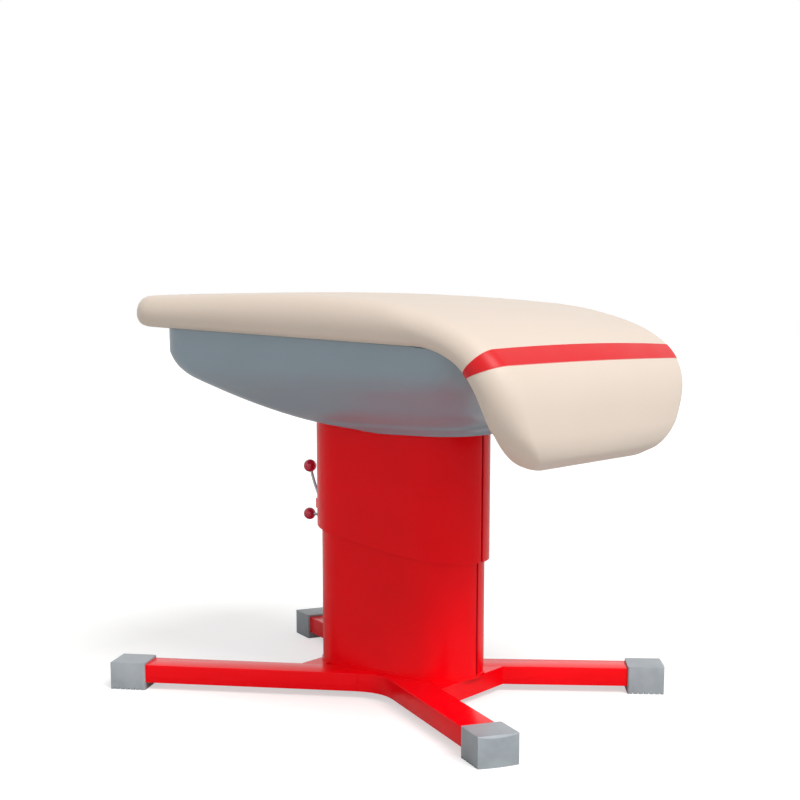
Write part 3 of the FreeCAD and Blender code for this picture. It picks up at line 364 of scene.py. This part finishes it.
def padRows():
    # the lines across the pad, from its rear edge over the top and down the front: under
    # point and outer point (x, z), half width, crown, and the share of the fuller edge
    # rear end: the thickness opens along a quarter of a squarish oval
    share = 1 - np.cos(np.linspace(0, math.pi / 2, 18))
    x = pad["rearX"] + pad["rearRound"] * share
    low = underZ(x) - pad["noseDrop"] * (1 - share) ** 2
    middle = (low + pad["topZ"]) / 2
    grow = (1 - (1 - share) ** 2.6) ** (1 / 2.2)
    rear = [np.stack([x, middle + (low - middle) * grow], -1),
            np.stack([x, middle + (pad["topZ"] - middle) * grow], -1),
            planHalf(x), pad["crown"] * grow, 0 * x]
    # straight part of the under line, with z = end + height (1 - q^p)^(1/p) above it
    share = np.linspace(0, 1, 40)[1:]
    start = pad["rearX"] + pad["rearRound"]
    turnX = pad["underBendX"] - pad["lean"]
    xLow = start + (pad["underBendX"] - start) * share
    xHigh = start + (turnX - start) * share
    reach, power = pad["frontX"] - pad["bendStartX"], pad["bendPower"]
    q = np.clip((xHigh - pad["bendStartX"]) / reach, 0, 1)
    zHigh = pad["frontZ"] + (pad["topZ"] - pad["frontZ"]) * (1 - q ** power) ** (1 / power)
    straight = [np.stack([xLow, underZ(xLow)], -1), np.stack([xHigh, zHigh], -1),
                planHalf(xLow), np.full_like(share, pad["crown"]), 0 * share]
    # bend: both lines turn down
    turn = np.linspace(0, 1, 72)[1:]
    first = math.asin(((turnX - pad["bendStartX"]) / reach) ** (power / 2)) * 2 / math.pi
    under = powerArc(turn, (pad["underBendX"], underZ(pad["underBendX"])),
                     (pad["underFrontX"], pad["underFrontZ"]), pad["underPower"])
    outer = powerArc(first + (1 - first) * turn, (pad["bendStartX"], pad["topZ"]),
                     (pad["frontX"], pad["frontZ"]), power)
    bend = [under, outer, np.full_like(turn, pad["halfWidth"]),
            np.full_like(turn, pad["crown"]), np.sin(turn * math.pi / 2)]
    # lower end of the front: it tapers and closes
    share = np.sin(np.linspace(0, math.pi / 2, 30))[1:]
    drop = np.sin(share * math.pi / 2)
    back = 1 - np.cos(share * math.pi / 2)
    outer = np.stack([pad["frontX"] - pad["outerBack"] * back, pad["frontZ"]
                      + (pad["tipZ"] + pad["outerRise"] - pad["frontZ"]) * drop], -1)
    under = np.stack([pad["underFrontX"] + pad["underBack"] * back, pad["underFrontZ"]
                      + (pad["tipZ"] + pad["underRise"] - pad["underFrontZ"]) * drop], -1)
    closing = np.maximum(0, (share - 0.5) / 0.5)
    middle = (outer + under) / 2
    middle[:, 1] += (pad["tipZ"] - middle[:, 1]) * closing ** 3 * 0.8
    keep = ((1 - closing ** 2.4) ** (1 / 2.4))[:, None]
    tip = [middle + (under - middle) * keep, middle + (outer - middle) * keep,
           np.full_like(share, pad["halfWidth"]), pad["crown"] * keep[:, 0], 0 * share + 1]
    under, outer, halfWidth, crown, fuller = [
        np.concatenate(parts) for parts in zip(rear, straight, bend, tip)]
    # the hanging front narrows along a squarish oval down to the tip
    q = (pad["narrowingZ"] - (under[:, 1] + outer[:, 1]) / 2) / (
        pad["narrowingZ"] - pad["tipZ"] - 3)
    q = np.clip(q, 0, 1) ** pad["narrowingPower"] * (under[:, 0] > pad["underBendX"])
    halfWidth = halfWidth - pad["narrowing"] * (1 - (1 - q) ** (1 / pad["narrowingPower"]))
    return under, outer, halfWidth, crown, fuller


def conic(start, corner, end, weight, t):
    # a rational quadratic from start to end that leaves and arrives towards the corner
    a, b, c = (1 - t) ** 2, 2 * weight * t * (1 - t), t ** 2
    total = a + b + c
    return [(a * s + b * k + c * e) / total for s, k, e in zip(start, corner, end)]


def padSection(thick, halfWidth, crown, fuller):
    # across the pad, one row of (y, height) for each line: flat below with the hem
    # stepping up into the board, a full round flank, and a crowned top. Also gives +1
    # for points on the board, -1 for points on the hem and 0 elsewhere.
    thick, halfWidth, crown, fuller = (a[:, None] for a in (thick, halfWidth, crown, fuller))
    crown = np.minimum(crown, thick * 0.4)
    sideTop = thick - crown
    edgeRound = pad["edgeRound"] + (pad["frontEdgeRound"] - pad["edgeRound"]) * fuller
    radius = np.minimum(edgeRound, sideTop * 0.46)
    low = np.minimum(radius * 0.7, sideTop * 0.3)
    bulge = np.minimum(pad["sideBulge"], radius * 0.1)
    half = halfWidth - bulge
    edgeY, edgeV = half - radius * 1.15, sideTop + crown * 0.12
    middleV = (low + sideTop - radius) / 2
    slope = 2 * (thick - edgeV) / edgeY
    outY = half + bulge
    step = np.linspace(0, 1, 13)[None, :-1]
    flatEnd = half - low * 1.2
    lower = conic((flatEnd, 0 * half), (outY, 0 * half), (outY, middleV), 0.78, step)
    upper = conic((outY, middleV), (outY, edgeV - slope * (outY - edgeY)), (edgeY, edgeV),
                  0.76, step)
    inward = np.linspace(1, 0, 25)[None, :]
    hemY = np.minimum(pad["boardHalf"] - pad["hemWidth"], flatEnd * 0.9)
    boardY = [hemY * 0.0, hemY * 0.5, hemY - 1.0]
    clothY = [hemY, hemY + (flatEnd - hemY) * np.linspace(0.1, 0.95, 6)[None, :]]
    y = np.concatenate(boardY + clothY + [lower[0], upper[0], edgeY * inward], axis=1)
    flat = np.zeros((len(thick), 10))
    v = np.concatenate([flat, lower[1], upper[1],
                        edgeV + (thick - edgeV) * (1 - inward ** 2)], axis=1)
    place = np.concatenate([np.ones(3), -np.ones(7), np.zeros(y.shape[1] - 10)])
    return y, v, place


def padSurface():
    # the whole pad: each line's section stood up from its under point towards its outer
    # point, mirrored to the far side. Gives a ring of points for each line.
    under, outer, halfWidth, crown, fuller = padRows()
    up = outer - under
    thick = np.maximum(np.linalg.norm(up, axis=1), 1e-6)
    up = up / thick[:, None]
    y, v, place = padSection(thick, halfWidth, crown, fuller)
    # inside the hem the surface rises into the board, and the hem laps under it
    behind = np.clip((under[:, :1] - pad["boardRearX"] - pad["hemWidth"]) / 2, 0, 1)
    above = np.clip((under[:, 1:] - pad["underFrontZ"] - 60) / 2, 0, 1)
    openShare = behind * above * (place > 0)
    hem = (pad["hemThick"] + pad["bendHem"] * 4 * fuller * (1 - fuller))[:, None]
    lift = (pad["boardDepth"] + hem) * openShare - hem * (place != 0)
    v = v + lift * np.clip(thick / 60, 0, 1)[:, None]
    x = under[:, :1] + up[:, :1] * v
    z = under[:, 1:] + up[:, 1:] * v
    near = np.stack([x, -y, z], axis=-1)
    far = np.stack([x, y, z], axis=-1)
    return np.concatenate([near, far[:, -2:0:-1]], axis=1)


padPoints = padSurface()
padCover = newPiece("padCover", surfaceMesh("padCover", padPoints, closeRound=True), "head",
                    "tan_cover")
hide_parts("pad_cover", "soft_foam_body", "firm_foam_layer")
print("pad cover: ", len(padCover.data.polygons), "faces")

# Stripe, between two planes z = height + slope (x - frontX) that meet under the pad
stripe = dict(topZ=1016.5, topSlope=0.927, lowZ=924.0, lowSlope=0.343, thick=1.4,
              sunk=1.0, highlightEdgeWidth=0.035, firstColumn=6)


def stripeSurface(points):
    # On each line along the pad, the places where it passes the two planes and those
    # between them; lifted off the cover along normals, its edges sunk into the cover
    share = (1 - np.cos(np.linspace(0, math.pi, 25))) / 2
    height = (stripe["topZ"] + (stripe["lowZ"] - stripe["topZ"]) * share)[:, None, None]
    slope = (stripe["topSlope"] + (stripe["lowSlope"] - stripe["topSlope"]) * share)
    rise = points[None, ..., 2] - height - slope[:, None, None] * (
        points[None, ..., 0] - pad["frontX"])
    before = np.argmax(rise < 0, axis=1) - 1
    column = np.arange(points.shape[1])[None, :]
    level = np.arange(len(share))[:, None]
    a, b = rise[level, before, column], rise[level, before + 1, column]
    t = (a / (a - b))[..., None]
    band = points[before, column] * (1 - t) + points[before + 1, column] * t
    along = np.gradient(band, axis=0)
    around = np.gradient(band, axis=1)
    normal = np.cross(around, along)
    normal /= np.linalg.norm(normal, axis=-1, keepdims=True) + 1e-9
    outward = np.sign((normal * (band - [300, 0, 850])).sum(axis=-1).mean())
    fromEdge = np.minimum(share, 1 - share)
    inside = np.minimum(1, fromEdge / 0.02)[:, None, None]
    # the share nearest each edge of the band, painted paler as a highlight along the edges
    pale = np.clip(1 - fromEdge / stripe["highlightEdgeWidth"], 0, 1)[:, None] + 0 * band[..., 0]
    return band + normal * outward * (stripe["thick"] * inside
                                      - stripe["sunk"] * (1 - inside)), pale


columns = padPoints.shape[1]
stripePoints, stripeEdgeHighlight = stripeSurface(
    padPoints[:, stripe["firstColumn"]:columns - stripe["firstColumn"] + 1])
stripeBand = newPiece("stripeBand", surfaceMesh("stripeBand", stripePoints,
                                                edgeHighlightShare=stripeEdgeHighlight), "head", "red_stripe")
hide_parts("stripe_band")
print("stripe: ", len(stripeBand.data.polygons), "faces")

# Softened edges: how far they are rounded off in millimetres, body, slot and nodes
edges = [
    (3.0, "base", "red_powder_coat", ["near_front_leg", "near_rear_leg", "far_front_leg",
                                      "far_rear_leg", "corner_gussets"]),
    (1.4, "head", "red_powder_coat", ["outer_column_near_half", "outer_column_far_half"]),
    (2.0, "base", "grey_rubber", ["near_front_shoe", "near_rear_shoe", "far_front_shoe",
                                  "far_rear_shoe"])]


def softened(nodeName, width):
    # a copy of the node with its flat faces joined and its sharp edges rounded off
    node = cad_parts[nodeName]
    mesh = node.data.copy()
    mesh.transform(node.matrix_world)
    work = bmesh.new()
    work.from_mesh(mesh)
    bmesh.ops.remove_doubles(work, verts=work.verts, dist=1e-5)
    bmesh.ops.dissolve_limit(work, angle_limit=math.radians(0.5), verts=work.verts,
                             edges=work.edges)
    sharp = [edge for edge in work.edges if len(edge.link_faces) == 2
             and edge.calc_face_angle() > math.radians(30)]
    bmesh.ops.bevel(work, geom=sharp, offset=width * metre, offset_type="OFFSET",
                    segments=3, profile=0.5, affect="EDGES", clamp_overlap=True)
    bmesh.ops.recalc_face_normals(work, faces=work.faces)
    work.to_mesh(mesh)
    work.free()
    mesh.shade_smooth()
    mesh.set_sharp_from_angle(angle=math.radians(35))
    return mesh


for width, body, slotName, nodeNames in edges:
    for nodeName in nodeNames:
        soft = newPiece("soft_" + nodeName, softened(nodeName, width), body, slotName)
        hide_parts(nodeName)
print("softened edges: ", sum(len(row[3]) for row in edges), "pieces")

# Studio

camera = dict(eye=(2.2163, -3.0410, 1.0058), turn=36.16, down=8.998, lens=62.95,
              shiftUp=0.179)
view = bpy.data.cameras.new("photoCamera")
view.lens = camera["lens"]
view.shift_y = camera["shiftUp"]
viewer = bpy.data.objects.new("photoCamera", view)
viewer.location = camera["eye"]
viewer.rotation_euler = (math.radians(90 - camera["down"]), 0, math.radians(camera["turn"]))
bpy.context.scene.collection.objects.link(viewer)
bpy.context.scene.camera = viewer

lights = dict(
    ambient=0.46,
    suns=[("keySun", (0.75, -0.24, 0.95), 2.5, 28), ("fillSun", (-0.2, -1.0, 0.35), 0.15, 40)],
    boxes=[("frontSoftbox", (3.4, -1.3, 1.9), (0, 0, 0.5), 1.6, 2.2, 12)])

for name, towards, strength, width in lights["suns"]:
    lamp = bpy.data.lights.new(name, "SUN")
    lamp.energy = strength
    lamp.angle = math.radians(width)
    holder = bpy.data.objects.new(name, lamp)
    holder.rotation_euler = Vector(towards).to_track_quat("Z", "Y").to_euler()
    bpy.context.scene.collection.objects.link(holder)

for name, at, target, wide, tall, power in lights["boxes"]:
    lamp = bpy.data.lights.new(name, "AREA")
    lamp.shape = "RECTANGLE"
    lamp.size, lamp.size_y = wide, tall
    lamp.energy = power
    holder = bpy.data.objects.new(name, lamp)
    holder.location = at
    holder.rotation_euler = (Vector(at) - Vector(target)).to_track_quat("Z", "Y").to_euler()
    bpy.context.scene.collection.objects.link(holder)

world = bpy.data.worlds.new("studioWorld")
bpy.context.scene.world = world
world.use_nodes = True
worldNodes = world.node_tree.nodes
background = worldNodes["Background"]
background.inputs["Color"].default_value = (1, 1, 1, 1)
rays = addNode(worldNodes, "LightPath")
seen = addNode(worldNodes, "Math", operation="MAXIMUM",
               links={0: rays.outputs["Is Camera Ray"], 1: rays.outputs["Is Glossy Ray"]})
strength = addNode(worldNodes, "MapRange", {"To Min": lights["ambient"]},
                   {"Value": seen.outputs["Value"]})
world.node_tree.links.new(strength.outputs["Result"], background.inputs["Strength"])


def paleFloor():
    # a pale painted floor with a speckle 8 mm across: it takes the object's shadow, and
    # part of what the camera sees is its own white
    material, nodes, place = startFinish("paleFloor", {"Roughness": 0.9,
                                                       "Emission Color": (1, 1, 1, 1)})
    speckle = addNode(nodes, "TexNoise", {"Scale": perMetre(8), "Detail": 2.0},
                      {"Vector": place})
    tint = addNode(nodes, "Mix", {"A": linear("C0C0BE"), "B": linear("C6C6C4")},
                   {"Factor": speckle.outputs["Fac"]}, data_type="RGBA")
    path = addNode(nodes, "LightPath")
    own = addNode(nodes, "MapRange", {"To Max": 0.55}, {"Value": path.outputs["Is Camera Ray"]})
    finishUp(nodes, Base_Color=tint.outputs["Result"], Emission_Strength=own.outputs["Result"])
    return material


floorSize = 60000
floorGrid = np.stack(np.meshgrid(np.linspace(-floorSize, floorSize, 3),
                                 np.linspace(-floorSize, floorSize, 3), [0.0],
                                 indexing="ij"), axis=-1)[:, :, 0]
floorMesh = surfaceMesh("studioFloor", floorGrid)
floorMesh.materials.append(paleFloor())
floor = bpy.data.objects.new("studioFloor", floorMesh)
bpy.context.scene.collection.objects.link(floor)

bpy.context.scene.view_settings.view_transform = "Standard"
print("studio ready")
